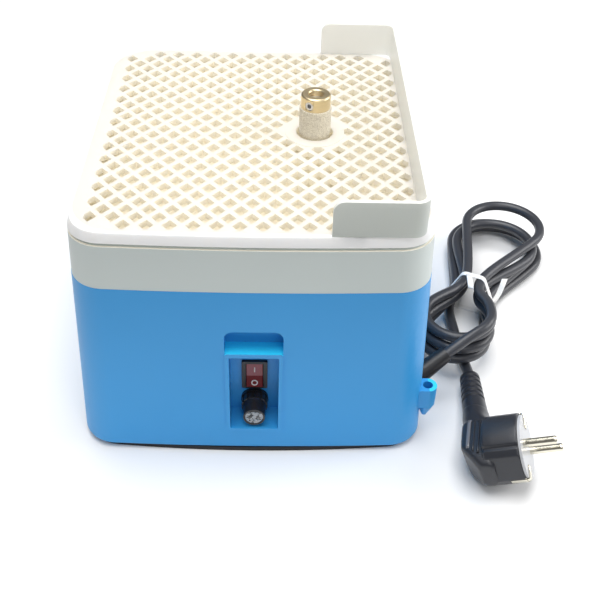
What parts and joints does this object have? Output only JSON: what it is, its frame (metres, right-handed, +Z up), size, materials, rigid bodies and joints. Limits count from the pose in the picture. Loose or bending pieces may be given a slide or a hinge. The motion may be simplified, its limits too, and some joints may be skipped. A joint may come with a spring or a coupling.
{
  "type": "bench glass grinder",
  "caption": "Bench grinder for glass: motor housing under a water tray, lift-off lattice grid, grinding bit on an upright spindle, splash guard, rocker switch and coiled mains lead",
  "frame": {"origin": "Centre of the mat's underside, on the bench", "axes": "+Z up along the spindle, -Y toward the user and the switch, +X to the right where the splash guard and the lead are"},
  "size_m": [0.3142, 0.2661, 0.1793],
  "materials": {
    "blue_shell": "fine moulded texture, satin",
    "white_plastic": "smooth moulded",
    "black_plastic": "satin moulded",
    "grey_plastic": "satin moulded",
    "red_plastic": "smooth moulded",
    "clear_cap": "bright",
    "black_rubber": "matt",
    "cord_sheath": "smooth extruded sheath",
    "white_tie": "thin strip",
    "brass": "turned",
    "diamond_grit": "bonded grit",
    "steel": "machined",
    "plated_steel": "nickel plated",
    "painted_steel": "black powder coat",
    "cast_alloy": "die cast",
    "copper": "enamelled wire",
    "fuse_glass": "clear tube"
  },
  "bodies": {
    "base": {"base_mat": "black_rubber", "base_plate": "painted_steel", "base_screw_1": "plated_steel", "base_screw_2": "plated_steel", "base_screw_3": "plated_steel", "base_screw_4": "plated_steel", "bearing_lower": "steel", "bearing_upper": "steel", "cord_gland": "black_plastic", "cord_hank": "cord_sheath", "cord_lead": "cord_sheath", "earth_clips": "plated_steel", "fuse_holder": "black_plastic", "hank_tie": "white_tie", "housing": "blue_shell", "inner_lead": "cord_sheath", "motor_bell_lower": "cast_alloy", "motor_bell_upper": "cast_alloy", "motor_can": "steel", "motor_screw_1": "plated_steel", "motor_screw_2": "plated_steel", "motor_screw_3": "plated_steel", "motor_screw_4": "plated_steel", "motor_stator": "steel", "plug_body": "black_plastic", "plug_face": "grey_plastic", "plug_neck": "black_plastic", "plug_pins": "plated_steel", "run_capacitor": "cast_alloy", "shaft_seal": "black_rubber", "stator_winding_lower": "copper", "stator_winding_upper": "copper", "switch_body": "black_plastic", "terminal_block": "black_plastic", "tray": "white_plastic", "tray_gasket": "black_rubber"},
    "rotor": {"shaft": "steel", "rotor_core": "steel", "cooling_fan": "black_plastic", "slinger": "black_rubber"},
    "bit": {"bit_core": "brass", "bit_grit": "diamond_grit", "set_screw": "steel"},
    "grid": {"grid": "white_plastic"},
    "guard": {"splash_guard": "white_plastic"},
    "rocker": {"switch_rocker": "red_plastic"},
    "fuse_carrier": {"fuse_carrier": "black_plastic", "fuse_link": "fuse_glass"},
    "fuse_cap": {"fuse_cap": "black_plastic", "fuse_lens": "clear_cap"}
  },
  "joints": [
    {"name": "spindle_spin", "type": "hinge", "parent": "base", "child": "rotor", "pos_m": [0.0345, -0.0013, 0.1], "axis": [0, 0, 1], "continuous": true},
    {"name": "bit_slide", "type": "slide", "parent": "rotor", "child": "bit", "axis": [0, 0, 1], "range_m": [0, 0.035]},
    {"name": "grid_lift", "type": "slide", "parent": "base", "child": "grid", "axis": [0, 0, 1], "range_m": [0, 0.06]},
    {"name": "guard_lift", "type": "slide", "parent": "grid", "child": "guard", "axis": [0, 0, 1], "range_m": [0, 0.03]},
    {"name": "rocker_tip", "type": "hinge", "parent": "base", "child": "rocker", "pos_m": [0.0012, -0.0955, 0.0482], "axis": [1, 0, 0], "range_deg": [0, 18]},
    {"name": "fuse_draw", "type": "slide", "parent": "base", "child": "fuse_carrier", "axis": [0, -1, 0], "range_m": [0, 0.045]},
    {"name": "fuse_cap_turn", "type": "hinge", "parent": "fuse_carrier", "child": "fuse_cap", "pos_m": [0.0012, -0.105, 0.0283], "axis": [0, -1, 0], "range_deg": [-45, 45]}
  ]
}
